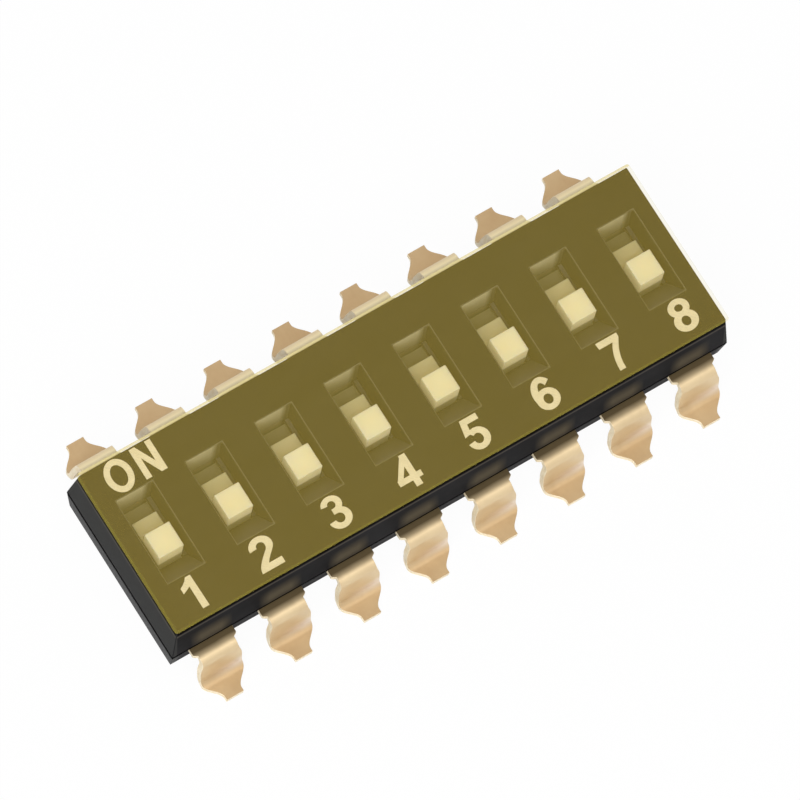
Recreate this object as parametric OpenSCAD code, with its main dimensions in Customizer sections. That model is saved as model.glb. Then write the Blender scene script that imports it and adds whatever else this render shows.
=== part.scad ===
// Surface-mount slide switch block: a row of small sliding actuators in a dual row package,
// sealed by a clear amber film over its top.
// The row runs along X from position 1, +Y is the ON side and +Z is up.
// The origin lies on the board surface under the middle of the package.

/* [Row] */
// Number of switch positions
positions = 8; // [1:1:12]
// Spacing of the positions
pitch = 2.54; // [2.4:0.01:3.2]
// Plastic between the centre of an end position and the end of the package
end_margin = 1.41; // [1.3:0.01:2.2]

/* [Package] */
// Width of the package at its parting line
package_width = 6.32; // [6.1:0.02:7.2]
// Height of the cover's top above the board
package_top = 3.68; // [3.58:0.01:4.5]
// Height of the parting line between base and cover
parting_z = 1.73; // [1.58:0.01:1.78]
// Gap between the board and the underside of the base
standoff = 0.5; // [0.42:0.01:0.68]
// How far each end of the cover leans in towards the top
end_draft = 0.17; // [0:0.01:0.25]
// How far each long side of the cover leans in towards the top
side_draft = 0.23; // [0:0.01:0.26]
// How far each end of the base leans in towards the board
base_end_draft = 0.1; // [0:0.01:0.3]
// How far each long side of the base leans in towards the board
base_side_draft = 0.14; // [0:0.01:0.3]
// Chamfer along the outer edges of the mouldings
edge_chamfer = 0.04; // [0.01:0.01:0.06]
// Height of the groove along the parting line
groove_height = 0.06; // [0.02:0.01:0.12]
// Depth of the groove along the parting line
groove_depth = 0.12; // [0.04:0.01:0.2]

/* [Slots] */
// Width of a slot at the cover's top
slot_width = 1.34; // [1.2:0.01:1.5]
// Length of a slot at the cover's top
slot_length = 3.1; // [2.9:0.01:3.2]
// How far the middle of the slots lies from the middle of the package, towards ON
slot_shift = 0.1; // [0:0.01:0.12]
// Depth of a slot's floor below the cover's top
slot_depth = 1.35; // [1.2:0.01:1.4]
// Run of the sloped front end of a slot
ramp_run = 0.81; // [0.6:0.01:0.9]
// How far the wall at the ON end of a slot leans in over its depth
back_draft = 0.04; // [0.01:0.01:0.08]
// Thickness of the floor on each side of the guide opening
ledge_thick = 0.15; // [0.1:0.01:0.18]

/* [Sliders] */
// Way between the OFF and the ON end of a slider's travel
travel = 0.6; // [0.4:0.01:0.7]
// Length of the knob along its travel
knob_length = 0.9; // [0.6:0.01:1]
// Width of the knob and of the stem under it
knob_width = 0.9; // [0.7:0.01:0.94]
// How far the knob's top lies below the cover's top
knob_recess = 0.12; // [0.05:0.01:0.3]
// How far the stem's top behind the knob lies below the cover's top
stem_recess = 0.9; // [0.6:0.01:1.1]
// Width of the flange that the floor holds down
flange_width = 1.44; // [1.2:0.01:1.46]
// Thickness of the flange
flange_thick = 0.2; // [0.14:0.01:0.22]
// Chamfer along the knob's top edges
knob_chamfer = 0.04; // [0.01:0.01:0.08]

/* [Moving contacts] */
// Thickness of the spring strip
spring_thick = 0.06; // [0.04:0.01:0.08]
// Width of the spring strip
spring_width = 0.9; // [0.6:0.01:1]
// Distance between the two touching crests
spring_span = 0.8; // [0.78:0.01:0.9]
// Distance from the slider's front face to the front crest
crest_inset = 0.25; // [0.2:0.01:0.3]
// Width of the cut between the two prongs
prong_gap = 0.14; // [0.08:0.01:0.24]
// Radius of the peg that holds the spring strip
peg_r = 0.1; // [0.06:0.01:0.12]

/* [Leads] */
// Thickness of the lead strip
lead_thick = 0.22; // [0.15:0.01:0.25]
// Distance between the toes of the two rows
lead_span = 9.66; // [9.4:0.02:10.6]
// Plastic over a lead inside the base
lead_cover = 0.05; // [0.02:0.01:0.08]
// Width of a lead where it leaves the package
shoulder_width = 1.58; // [1.5:0.01:1.7]
// Length of the shoulder outside the package
shoulder_length = 0.22; // [0.1:0.01:0.25]
// Width of a lead at its upper bend
neck_width = 1.3; // [1.1:0.01:1.4]
// Width of a lead at its lower bend
calf_width = 1.52; // [1.42:0.01:1.6]
// Height at which the leg reaches the width of the lower bend
calf_z = 0.92; // [0.7:0.01:1.2]
// Width of a lead at its toe
toe_width = 0.62; // [0.5:0.01:0.9]
// Length of the straight toe
toe_length = 0.12; // [0.05:0.01:0.3]
// Distance from the package to the start of the upper bend
neck_out = 0.34; // [0.3:0.01:0.4]
// Distance from the package to where the foot starts to narrow
foot_wide = 0.86; // [0.8:0.01:0.95]
// Degrees by which the leg leans outwards
leg_lean = 7.5; // [0:0.5:12]
// Outer radius of the upper bend
upper_bend_r = 0.34; // [0.3:0.01:0.4]
// Inner radius of the lower bend
lower_bend_r = 0.28; // [0.2:0.01:0.34]
// Width of a lead inside the base
tail_width = 0.9; // [0.7:0.01:1.1]
// Width of a fixed contact pad
pad_width = 0.8; // [0.6:0.01:1]

/* [Film and print] */
// Thickness of the sealing film
film_thick = 0.07; // [0.04:0.01:0.12]
// How far the film reaches past the cover's top at the ends
film_end_overhang = 0.09; // [0:0.01:0.2]
// How far the film reaches past the cover's top at the long sides
film_side_overhang = 0.07; // [0:0.01:0.2]
// Thickness of the printed marks
print_thick = 0.03; // [0.01:0.01:0.05]
// Height of the printed digits
digit_height = 1.14; // [0.9:0.01:1.2]
// Distance from a slot's front rim to its digit
digit_gap = 0.1; // [0.05:0.01:0.2]
// How much further apart the digits stand than the slots
digit_spread = 0.04; // [0:0.01:0.08]
// Height of the printed ON letters
letter_height = 1.1; // [0.9:0.01:1.14]
// Distance from a slot's back rim to the ON letters
letter_gap = 0.11; // [0.03:0.01:0.12]
// Spacing of the ON letters
letter_pitch = 1.06; // [0.95:0.01:1.2]
// How far the O lies from its slot's middle
letter_shift = -0.15; // [-0.2:0.01:0.1]

/* [Fits] */
// Running clearance around a moving piece
run_gap = 0.03; // [0.02:0.01:0.04]
// Clearance between a slider and its end stops
stop_gap = 0.04; // [0.02:0.01:0.06]
// Clearance between the spring crests and the pads
crest_gap = 0.01; // [0.01:0.01:0.02]
// Clearance of a peg in its hole
peg_gap = 0.02; // [0.01:0.01:0.03]

/* [Joining pegs] */
// Radius of the pegs that hold the cover on the base
post_r = 0.25; // [0.15:0.01:0.3]
// Height of the pegs that hold the cover on the base
post_height = 0.5; // [0.3:0.01:0.8]
// Distance of the pegs from the middle of the package, across the row
post_y = 1.9; // [1.6:0.01:2.3]
// Radius of the ejector marks under the base
ejector_r = 0.5; // [0.3:0.01:0.7]
// Depth of the ejector marks under the base
ejector_depth = 0.05; // [0.02:0.01:0.08]

/* [Hidden] */
$fn = 48;
// Small extra length that lets a cut pass through a face
past = 0.1;
row = [for (i = [1:positions]) (i - (positions + 1) / 2) * pitch];
digit_scale = digit_height / 1.14;
letter_scale = letter_height / 1.1;

// Package
half_length = (positions - 1) * pitch / 2 + end_margin;
side_y = package_width / 2;
top_half_length = half_length - end_draft;
top_side_y = side_y - side_draft;

// Slot, seen from the side
rim_front = slot_shift - slot_length / 2;
rim_back = slot_shift + slot_length / 2;
floor_z = package_top - slot_depth;
floor_front = rim_front + ramp_run;
floor_back = rim_back - back_draft;

// Slider, at its OFF end
slider_front = floor_front + stop_gap;
slider_length = floor_back - floor_front - 2 * stop_gap - travel;
guide_width = knob_width + 2 * run_gap;
cavity_width = flange_width + 2 * run_gap;
cavity_top = floor_z - ledge_thick;
flange_top = cavity_top - run_gap;
flange_z = flange_top - flange_thick;

// Moving contact, under the flange
crest_front = slider_front + crest_inset;
crest_back = crest_front + spring_span;
spring_y = (crest_front + crest_back) / 2;
spring_drop = flange_z - spring_thick - parting_z - crest_gap;
spring_flat = peg_r + peg_gap + 0.06;
spring_curl = 0.1;

// Fixed contact pads, in line with the crests
pad_margin = 0.15;
front_pad = [crest_front - pad_margin, crest_front + travel + pad_margin];
back_pad = [crest_back + travel - pad_margin, crest_back + travel + pad_margin];

// Lead, measured outwards from the package
lead_top = parting_z - lead_cover;
toe_out = lead_span / 2 - side_y;
neck_ease = 8;
neck_drop = 0.06;
// Reach that the full neck and bends need; a shorter lead has tighter ones
full_reach = neck_out + upper_bend_r + lower_bend_r + 2 * lead_thick;
tight = min(1, toe_out / full_reach);
neck_run = tight * neck_out;
shoulder_run = tight * shoulder_length;
upper_r = lead_thick + tight * (upper_bend_r - lead_thick);
lower_r = tight * lower_bend_r;
upper_bend = [neck_run, lead_top - upper_r];
bend_reach = upper_r + lower_r;
leg_height = upper_bend[1] - lead_thick - lower_r + bend_reach * sin(leg_lean);
lower_bend = [
    neck_run + bend_reach * cos(leg_lean) + leg_height * tan(leg_lean),
    lead_thick + lower_r
];

// A value that eases from a to b as t runs from 0 to 1
function ease(a, b, t) = a + (b - a) * (1 - cos(180 * t)) / 2;

// Points of one edge that eases through the stations [position, half width]
function eased_edge(stations, steps) = [
    for (k = [0:len(stations) - 2])
        let (p = stations[k], q = stations[k + 1], n = p[1] == q[1] ? 1 : steps)
            for (j = [0:n - 1]) [p[0] + (q[0] - p[0]) * j / n, ease(p[1], q[1], j / n)],
    stations[len(stations) - 1]
];

// Closed outline with the same edge on both sides of the first axis
function both_edges(edge) = concat(
    edge, [for (k = [len(edge) - 1:-1:0]) [edge[k][0], -edge[k][1]]]
);

// Points on an oval with two half axes, from one angle to another
function oval(middle, axes, from, to, steps = 16) = [
    for (k = [0:steps]) let (a = from + (to - from) * k / steps)
        middle + [axes[0] * cos(a), axes[1] * sin(a)]
];

// Stretches a drawing in the Y-Z plane along X
module along_x(width) {
    rotate([90, 0, 90]) linear_extrude(width, center = true) children();
}

// Stretches a drawing in the X-Z plane along Y
module along_y(width) {
    rotate([90, 0, 0]) linear_extrude(width, center = true) children();
}

// Section of a block with sloped sides and chamfered corners at its far end
module leaning_section(near, far, z_near, z_far) {
    c = edge_chamfer;
    up = z_far > z_near ? c : -c;
    polygon([
        [-near, z_near], [near, z_near], [far, z_far - up],
        [far - c, z_far], [c - far, z_far], [-far, z_far - up]
    ]);
}

// Block that leans in from its near face to its far face on all four sides
module leaning_block(near, far, z_near, z_far) {
    reach = 2 * max(near[0], near[1]) + past;
    intersection() {
        along_y(reach) leaning_section(near[0], far[0], z_near, z_far);
        along_x(reach) leaning_section(near[1], far[1], z_near, z_far);
    }
}

// Places its children at the pegs that join cover and base
module at_posts() {
    reach = max(positions / 2 - 1, 0.5) * pitch;
    for (x = [-reach, reach], y = [-post_y, post_y])
        translate([x, y, parting_z]) children();
}

// Lower moulding, moulded around the leads
module base() {
    color("#232326") difference() {
        union() {
            leaning_block(
                [half_length, side_y],
                [half_length - base_end_draft, side_y - base_side_draft],
                parting_z, standoff
            );
            at_posts() cylinder(h = post_height, r = post_r);
        }
        for (i = [1:positions]) {
            front_lead_place(i) lead_tail(front_pad[1] + side_y);
            front_lead_place(i) pad_block(-front_pad[1], -front_pad[0]);
            back_lead_place(i) lead_tail(side_y - back_pad[0]);
            back_lead_place(i) pad_block(back_pad[0], back_pad[1]);
        }
        for (x = [-1, 1])
            translate([x * (half_length - end_margin), 0, standoff - past])
                cylinder(h = ejector_depth + past, r = ejector_r);
    }
}

// Opening of one position in the cover: slot, guide and room for the flange
module slider_room() {
    along_x(slot_width) polygon([
        [rim_front - past * ramp_run / slot_depth, package_top + past],
        [rim_back + past * back_draft / slot_depth, package_top + past],
        [floor_back, floor_z], [floor_front, floor_z]
    ]);
    translate([-guide_width / 2, floor_front, parting_z])
        cube([guide_width, floor_back - floor_front, floor_z - parting_z + past / 10]);
    translate([-cavity_width / 2, floor_front, parting_z - past])
        cube([cavity_width, floor_back - floor_front, cavity_top - parting_z + past]);
}

// Upper moulding with its row of slots
module cover() {
    color("#2b2b2d") difference() {
        union() {
            leaning_block(
                [half_length, side_y], [top_half_length, top_side_y],
                parting_z + groove_height, package_top
            );
            translate([groove_depth - half_length, groove_depth - side_y, parting_z])
                cube([
                    2 * (half_length - groove_depth), 2 * (side_y - groove_depth),
                    groove_height + past
                ]);
        }
        for (x = row) translate([x, 0, 0]) slider_room();
        at_posts() translate([0, 0, -past])
            cylinder(h = post_height + peg_gap + past, r = post_r + peg_gap);
    }
}

// Clear amber film on the cover, above the sliders
module sealing_film() {
    x = top_half_length + film_end_overhang;
    y = top_side_y + film_side_overhang;
    color("#b4963c", 0.5) translate([-x, -y, package_top + print_thick])
        cube([2 * x, 2 * y, film_thick]);
}

// Slider at its OFF end: knob, stem, flange and the peg under it
module slider(i) {
    knob_top = package_top - knob_recess;
    stem_top = package_top - stem_recess;
    c = knob_chamfer;
    color("#eedda3") translate([row[i - 1], slider_front, 0]) {
        intersection() {
            along_y(4 * slider_length) polygon([
                [-knob_width / 2, flange_z], [knob_width / 2, flange_z],
                [knob_width / 2, knob_top - c], [knob_width / 2 - c, knob_top],
                [c - knob_width / 2, knob_top], [-knob_width / 2, knob_top - c]
            ]);
            along_x(knob_width) polygon([
                [0, flange_z], [0, knob_top - c], [c, knob_top],
                [knob_length - c, knob_top], [knob_length, knob_top - c],
                [knob_length, stem_top], [slider_length, stem_top], [slider_length, flange_z]
            ]);
        }
        translate([-flange_width / 2, 0, flange_z])
            cube([flange_width, slider_length, flange_thick]);
        translate([0, spring_y - slider_front, flange_z - spring_thick])
            cylinder(h = spring_thick + flange_thick / 2, r = peg_r);
    }
}

// Lower face of the spring strip at a distance from its middle
function spring_z(t) =
    t < spring_flat ? 0
    : t < spring_span / 2 ? ease(0, -spring_drop, (t - spring_flat) / (spring_span / 2 - spring_flat))
    : ease(-spring_drop, spring_curl / 2 - spring_drop, (t - spring_span / 2) / spring_curl);

// Two-pronged spring strip that bridges the pads at the ON end
module moving_contact(i) {
    low = flange_z - spring_thick;
    reach = spring_span / 2 + spring_curl;
    half = concat(
        [0],
        [for (k = [0:6]) spring_flat + (spring_span / 2 - spring_flat) * k / 6],
        [for (k = [1:3]) spring_span / 2 + spring_curl * k / 3]
    );
    ys = concat([for (k = [len(half) - 1:-1:1]) -half[k]], half);
    color("#d9b46a") translate([row[i - 1], spring_y, low]) difference() {
        along_x(spring_width) polygon(concat(
            [for (y = ys) [y, spring_z(abs(y))]],
            [for (k = [len(ys) - 1:-1:0]) [ys[k], spring_z(abs(ys[k])) + spring_thick]]
        ));
        for (side = [-1, 1])
            translate([0, side * (spring_flat + reach / 2), 0])
                cube([prong_gap, reach, 2], center = true);
        translate([0, 0, -1]) cylinder(h = 2, r = peg_r + peg_gap);
    }
}

// Points of a bend in a lead's side view
function bend(middle, r, from, to) = oval(middle, [r, r], from, to, 8);

// Side view of a lead: level neck, upper bend, leaning leg, lower bend and foot
module lead_section() {
    polygon(concat(
        [[0, lead_top - lead_thick], [0, lead_top]],
        bend(upper_bend, upper_r, 90, leg_lean),
        bend(lower_bend, lower_r, 180 + leg_lean, 270),
        [[toe_out, lead_thick], [toe_out, 0]],
        bend(lower_bend, lower_r + lead_thick, 270, 180 + leg_lean),
        bend(upper_bend, upper_r - lead_thick, leg_lean, 90)
    ));
}

// Plan of the tail and the shoulder, up to the upper bend
module shoulder_plan(tail) {
    inner = [[-tail, tail_width / 2], [-2 * shoulder_run, tail_width / 2]];
    outer = eased_edge([
        [-1.5 * shoulder_run, shoulder_width / 2], [shoulder_run, shoulder_width / 2],
        [neck_run, neck_width / 2]
    ], neck_ease);
    rotate(90) polygon(both_edges(concat(inner, outer)));
}

// Part of a lead inside the package and its shoulder
module lead_tail(tail) {
    translate([0, 0, lead_top - lead_thick])
        linear_extrude(lead_thick) shoulder_plan(tail);
}

// Raised contact pad between two places across the package
module pad_block(from, to) {
    translate([-pad_width / 2, min(from, to) - side_y, lead_top - lead_thick / 2])
        cube([pad_width, abs(to - from), lead_thick / 2 + lead_cover]);
}

// Front view that narrows the leg towards the upper bend
module leg_front() {
    edge = eased_edge([
        [-past, calf_width / 2], [calf_z, calf_width / 2],
        [lead_top - neck_drop, neck_width / 2], [lead_top + past, neck_width / 2]
    ], neck_ease);
    rotate(90) polygon(both_edges(edge));
}

// Plan that narrows the foot towards its toe
module foot_plan() {
    edge = eased_edge([
        [neck_run, calf_width / 2], [tight * foot_wide, calf_width / 2],
        [toe_out - tight * toe_length, toe_width / 2], [toe_out, toe_width / 2]
    ], neck_ease);
    rotate(90) polygon(both_edges(edge));
}

// Whole lead with its toe towards +Y and the package side at Y = 0
module lead(tail) {
    lead_tail(tail);
    intersection() {
        along_x(2 * calf_width) lead_section();
        linear_extrude(package_top) foot_plan();
        translate([0, toe_out, 0]) along_y(2 * toe_out) leg_front();
    }
}

// Places a lead that leaves the package on the ON side
module back_lead_place(i) {
    translate([row[i - 1], side_y, 0]) children();
}

// Places a lead that leaves the package on the side of the digits
module front_lead_place(i) {
    translate([row[i - 1], -side_y, 0]) rotate(180) children();
}

// Lead on the side of the digits, with the long pad
module lead_front(i) {
    color("#d2b284") front_lead_place(i) {
        lead(front_pad[1] + side_y);
        pad_block(-front_pad[1], -front_pad[0]);
    }
}

// Lead on the ON side, with the short pad
module lead_back(i) {
    color("#d2b284") back_lead_place(i) {
        lead(side_y - back_pad[0]);
        pad_block(back_pad[0], back_pad[1]);
    }
}

// Curved stroke between an outer and an inner oval
module stroke(middle, outer, inner, from, to) {
    polygon(concat(oval(middle, outer, from, to), oval(middle, inner, to, from)));
}

// Closed stroke between an outer and an inner oval
module ring(middle, outer, inner) {
    difference() {
        polygon(oval(middle, outer, 0, 348, 29));
        polygon(oval(middle, inner, 0, 348, 29));
    }
}

// Rectangle between two corners
module bar(from, to) {
    translate(from) square(to - from);
}

// Digits 1 to 9, 1.14 high about the origin, then 0 for later positions
module digit(n) {
    h = 0.57;
    if (n == 1) polygon([
        [0.02, h], [0.2, h], [0.22, -h], [-0.01, -h], [-0.01, 0.25], [-0.15, 0.18],
        [-0.29, 0.12], [-0.29, 0.32], [-0.18, 0.38], [-0.06, 0.47]
    ]);
    if (n == 2) polygon(concat(
        oval([0, 0.24], [0.4, 0.33], 185, 0),
        [[0.385, 0.14], [0.33, 0.05], [0.25, -0.03], [0.15, -0.12], [0.04, -0.23], [-0.05, -0.35]],
        [[0.41, -0.35], [0.41, -h], [-0.41, -h], [-0.39, -0.46], [-0.35, -0.37], [-0.28, -0.27]],
        [[-0.19, -0.17], [-0.08, -0.07], [0.03, 0.03], [0.1, 0.09], [0.14, 0.16]],
        oval([0, 0.24], [0.15, 0.135], 0, 185)
    ));
    if (n == 3) {
        stroke([0.03, 0.27], [0.355, 0.3], [0.135, 0.13], -90, 172);
        stroke([0.06, -0.215], [0.4, 0.355], [0.165, 0.165], -175, 90);
        bar([-0.05, -0.05], [0.07, 0.14]);
    }
    if (n == 4) {
        bar([0.09, -h], [0.315, h]);
        bar([-0.37, -0.335], [0.47, -0.14]);
        polygon([
            [-0.37, -0.3], [-0.37, -0.17], [0.13, h], [0.2, h], [0.2, 0.355], [-0.14, -0.14],
            [-0.14, -0.3]
        ]);
    }
    if (n == 5) {
        bar([-0.2, 0.365], [0.35, h]);
        polygon([[-0.24, h], [-0.04, h], [-0.11, 0.05], [-0.35, 0]]);
        stroke([0.02, -0.195], [0.39, 0.375], [0.16, 0.18], -172, 128);
    }
    if (n == 6) {
        ring([0.02, -0.205], [0.39, 0.365], [0.155, 0.175]);
        stroke([0.02, 0], [0.41, h], [0.17, 0.375], 38, 205);
    }
    if (n == 7) polygon([
        [-0.34, h], [0.435, h], [0.435, 0.42], [0.33, 0.25], [0.23, 0.07], [0.15, -0.16],
        [0.11, -0.36], [0.1, -h], [-0.11, -h], [-0.1, -0.4], [-0.07, -0.2], [-0.01, 0],
        [0.07, 0.19], [0.17, 0.35], [-0.32, 0.35]
    ]);
    if (n == 8) {
        ring([0, 0.262], [0.364, 0.308], [0.144, 0.121]);
        ring([0, -0.215], [0.41, 0.355], [0.154, 0.17]);
    }
    if (n == 9) rotate(180) digit(6);
    if (n > 9) ring([0, 0], [0.4, h], [0.165, 0.375]);
}

// Letter O about the origin, for letters 1.1 high, which it passes a little at both ends
module letter_o() {
    ring([0, 0], [0.455, 0.57], [0.25, 0.37]);
}

// Letter N, 1.1 high about the origin
module letter_n() {
    bar([-0.382, -0.55], [-0.182, 0.55]);
    bar([0.182, -0.55], [0.382, 0.55]);
    polygon([[-0.382, 0.55], [-0.18, 0.55], [0.382, -0.55], [0.17, -0.55]]);
}

// Turns a drawing into print on the cover's top
module print_at(x, y, size) {
    translate([x, y, package_top]) linear_extrude(print_thick) scale(size) children();
}

// Printed ON behind the first slot
module print_on() {
    x = row[0] + letter_shift;
    y = rim_back + letter_gap + letter_height / 2;
    color("#eedda3") {
        print_at(x, y, letter_scale) letter_o();
        print_at(x + letter_pitch, y, letter_scale) letter_n();
    }
}

// Printed digits in front of the slots
module print_digits() {
    y = rim_front - digit_gap - digit_height / 2;
    color("#eedda3") for (i = [1:positions])
        print_at(row[i - 1] * (1 + digit_spread / pitch), y, digit_scale) digit(i);
}

base();
cover();
sealing_film();
print_on();
print_digits();
for (i = [1:positions]) {
    slider(i);
    moving_contact(i);
    lead_front(i);
    lead_back(i);
}
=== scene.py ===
"""Looks of the surface-mount slide switch block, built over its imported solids.

Lengths are written in millimetres and turned into metres when a mesh is made.
The row runs along X from position 1, +Y is the ON side and +Z is up.
"""

import logging
import math
from dataclasses import dataclass, field
from enum import Enum
from typing import Iterable, Sequence

import bmesh
import bpy
from mathutils import Matrix, Vector

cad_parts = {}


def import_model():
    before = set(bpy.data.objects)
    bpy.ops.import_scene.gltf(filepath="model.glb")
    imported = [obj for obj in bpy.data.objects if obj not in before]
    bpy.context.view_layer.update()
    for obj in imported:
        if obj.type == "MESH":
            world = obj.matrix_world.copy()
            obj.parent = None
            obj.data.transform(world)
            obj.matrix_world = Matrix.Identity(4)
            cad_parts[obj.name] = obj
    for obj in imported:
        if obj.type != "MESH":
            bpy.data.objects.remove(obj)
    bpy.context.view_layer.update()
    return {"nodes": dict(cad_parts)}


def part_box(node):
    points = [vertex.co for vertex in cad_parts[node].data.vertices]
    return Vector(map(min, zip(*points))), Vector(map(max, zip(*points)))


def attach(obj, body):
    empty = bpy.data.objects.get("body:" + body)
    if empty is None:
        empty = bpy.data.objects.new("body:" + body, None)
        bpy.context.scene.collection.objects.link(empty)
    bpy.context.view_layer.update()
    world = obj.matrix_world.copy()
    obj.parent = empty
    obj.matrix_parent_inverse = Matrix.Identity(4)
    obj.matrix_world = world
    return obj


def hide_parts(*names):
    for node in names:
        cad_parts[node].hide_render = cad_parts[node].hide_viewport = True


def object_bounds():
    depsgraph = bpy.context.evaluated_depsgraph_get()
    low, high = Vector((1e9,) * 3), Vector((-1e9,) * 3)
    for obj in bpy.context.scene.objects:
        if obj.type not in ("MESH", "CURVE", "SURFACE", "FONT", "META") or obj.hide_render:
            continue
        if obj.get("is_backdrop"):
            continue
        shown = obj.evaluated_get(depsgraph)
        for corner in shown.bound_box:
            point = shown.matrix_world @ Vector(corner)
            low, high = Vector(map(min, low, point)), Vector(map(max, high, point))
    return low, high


MM = 0.001
POSITIONS = 8
HOUSING = "housing"

Colour = tuple[float, float, float]
Point = tuple[float, float, float]

log = logging.getLogger("switch_block")


class Side(Enum):
    """The two long sides of the package."""

    FRONT = -1
    BACK = 1


def linear(red: int, green: int, blue: int) -> tuple[float, float, float, float]:
    """Turns a screen colour into a shader colour.

    Args:
        red: Red as seen on a screen, 0 to 255.
        green: Green as seen on a screen, 0 to 255.
        blue: Blue as seen on a screen, 0 to 255.

    Returns:
        The colour with an alpha of 1, in linear light.
    """
    def one(level: int) -> float:
        """Linear light of one screen level."""
        part = level / 255
        return part / 12.92 if part <= 0.04045 else ((part + 0.055) / 1.055) ** 2.4

    return one(red), one(green), one(blue), 1.0


def ease(start: float, end: float, share: float) -> float:
    """Value that eases from start to end as share runs from 0 to 1."""
    return start + (end - start) * (1 - math.cos(math.pi * share)) / 2


def eased(place: float, stations: Sequence[tuple[float, float]]) -> float:
    """Value of a line that eases through its stations.

    Args:
        place: Where to read the line.
        stations: Places in rising order, each with its value.

    Returns:
        The value at the place, level before the first and after the last station.
    """
    for (start, low), (end, high) in zip(stations, stations[1:]):
        if place <= end:
            return ease(low, high, max(place - start, 0.0) / (end - start))
    return stations[-1][1]


def middle_x(node: str) -> float:
    """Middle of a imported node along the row, in millimetres."""
    low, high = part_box(node)
    return (low[0] + high[0]) / 2 / MM


class Signal:
    """A shader socket that takes part in Python arithmetic."""

    def __init__(self, graph: "Graph", socket: bpy.types.NodeSocket) -> None:
        """Keeps the graph that the socket belongs to."""
        self.graph = graph
        self.socket = socket

    def _math(self, operation: str, first: "Signal | float", second: "Signal | float") -> "Signal":
        """One Math node on two values."""
        return self.graph.node(
            "ShaderNodeMath", {"operation": operation}, {0: first, 1: second})

    def __add__(self, other: "Signal | float") -> "Signal":
        """Sum of two values."""
        return self._math("ADD", self, other)

    __radd__ = __add__

    def __sub__(self, other: "Signal | float") -> "Signal":
        """Difference of two values."""
        return self._math("SUBTRACT", self, other)

    def __rsub__(self, other: float) -> "Signal":
        """Difference with this value on the right."""
        return self._math("SUBTRACT", other, self)

    def __mul__(self, other: "Signal | float") -> "Signal":
        """Product of two values."""
        return self._math("MULTIPLY", self, other)

    __rmul__ = __mul__

    def __pow__(self, other: "Signal | float") -> "Signal":
        """This value to a power."""
        return self._math("POWER", self, other)


class Graph:
    """The node tree of one material or world."""

    def __init__(self, owner: bpy.types.Material | bpy.types.World) -> None:
        """Empties the owner's node tree.

        Args:
            owner: The material or world to build.
        """
        owner.use_nodes = True
        self.tree = owner.node_tree
        self.tree.nodes.clear()

    def node(self, kind: str, settings: dict | None = None, inputs: dict | None = None,
             output: int | str = 0) -> Signal:
        """Adds one node.

        Args:
            kind: Blender's name of the node type.
            settings: Attributes to set first; "stops" fills a colour ramp.
            inputs: Values or signals by socket name or number.
            output: The output socket to return.

        Returns:
            The chosen output.
        """
        node = self.tree.nodes.new(kind)
        for key, value in (settings or {}).items():
            if key == "stops":
                self._fill_ramp(node, value)
            else:
                setattr(node, key, value)
        for key, value in (inputs or {}).items():
            if isinstance(value, Signal):
                self.tree.links.new(value.socket, node.inputs[key])
            else:
                node.inputs[key].default_value = value
        return Signal(self, node.outputs[output]) if node.outputs else None

    @staticmethod
    def _fill_ramp(node: bpy.types.Node, stops: Sequence[tuple[float, Sequence[float]]]) -> None:
        """Sets the stops of a colour ramp."""
        elements = node.color_ramp.elements
        while len(elements) < len(stops):
            elements.new(0.5)
        for element, (place, colour) in zip(elements, stops):
            element.position = place
            element.color = colour

    def place(self) -> Signal:
        """Position on the piece in millimetres."""
        spot = self.node("ShaderNodeTexCoord", output="Object")
        return self.node(
            "ShaderNodeVectorMath", {"operation": "SCALE"}, {0: spot, "Scale": 1 / MM})

    def coordinate(self, axis: int) -> Signal:
        """One coordinate of the place in millimetres; 0 is along the row, 2 is the height."""
        return self.node("ShaderNodeSeparateXYZ", None, {0: self.place()}, output=axis)

    def aside(self, axis: int) -> Signal:
        """Distance from the middle of the package along one axis in millimetres."""
        return self.node("ShaderNodeMath", {"operation": "ABSOLUTE"}, {0: self.coordinate(axis)})

    def in_pitch(self) -> Signal:
        """Distance along the row from the nearest position in millimetres, below 0 on its left."""
        return self.node("ShaderNodeMath", {"operation": "WRAP"},
                         {0: self.coordinate(0) - 1.27, 1: -1.27, 2: 1.27})

    def stretched(self, scale: Point) -> Signal:
        """Position on the piece in millimetres, multiplied along each axis."""
        return self.node(
            "ShaderNodeVectorMath", {"operation": "MULTIPLY"}, {0: self.place(), 1: scale})

    def noise(self, where: Signal, scale: float, detail: float = 2.0,
              roughness: float = 0.5) -> Signal:
        """Soft random pattern.

        Args:
            where: Position to read it at.
            scale: Spots per millimetre.
            detail: Number of finer layers.
            roughness: Strength of the finer layers.

        Returns:
            A value around a half.
        """
        return self.node(
            "ShaderNodeTexNoise", {"noise_dimensions": "3D"},
            {"Vector": where, "Scale": scale, "Detail": detail, "Roughness": roughness})

    def spread(self, value: Signal, low: float, high: float, to_low: float = 0.0,
               to_high: float = 1.0) -> Signal:
        """Maps a value from one range to another and clamps it."""
        return self.node(
            "ShaderNodeMapRange", {"clamp": True},
            {0: value, 1: low, 2: high, 3: to_low, 4: to_high})

    def mix(self, share: Signal | float, first: Signal | Sequence[float],
            second: Signal | Sequence[float]) -> Signal:
        """Mixes two colours by a share of the second."""
        return self.node(
            "ShaderNodeMix", {"data_type": "RGBA"}, {0: share, 6: first, 7: second}, output=2)

    def bump(self, height: Signal, strength: float, depth: float) -> Signal:
        """Small relief.

        Args:
            height: Relief from 0 to 1.
            strength: How much of it is used.
            depth: Depth of the full relief in millimetres.

        Returns:
            The normal of the relief.
        """
        return self.node(
            "ShaderNodeBump", None,
            {"Strength": strength, "Distance": depth * MM, "Height": height})

    def surface(self, shader: Signal) -> None:
        """Puts a shader on the material's surface."""
        self.node("ShaderNodeOutputMaterial", None, {"Surface": shader})


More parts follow.
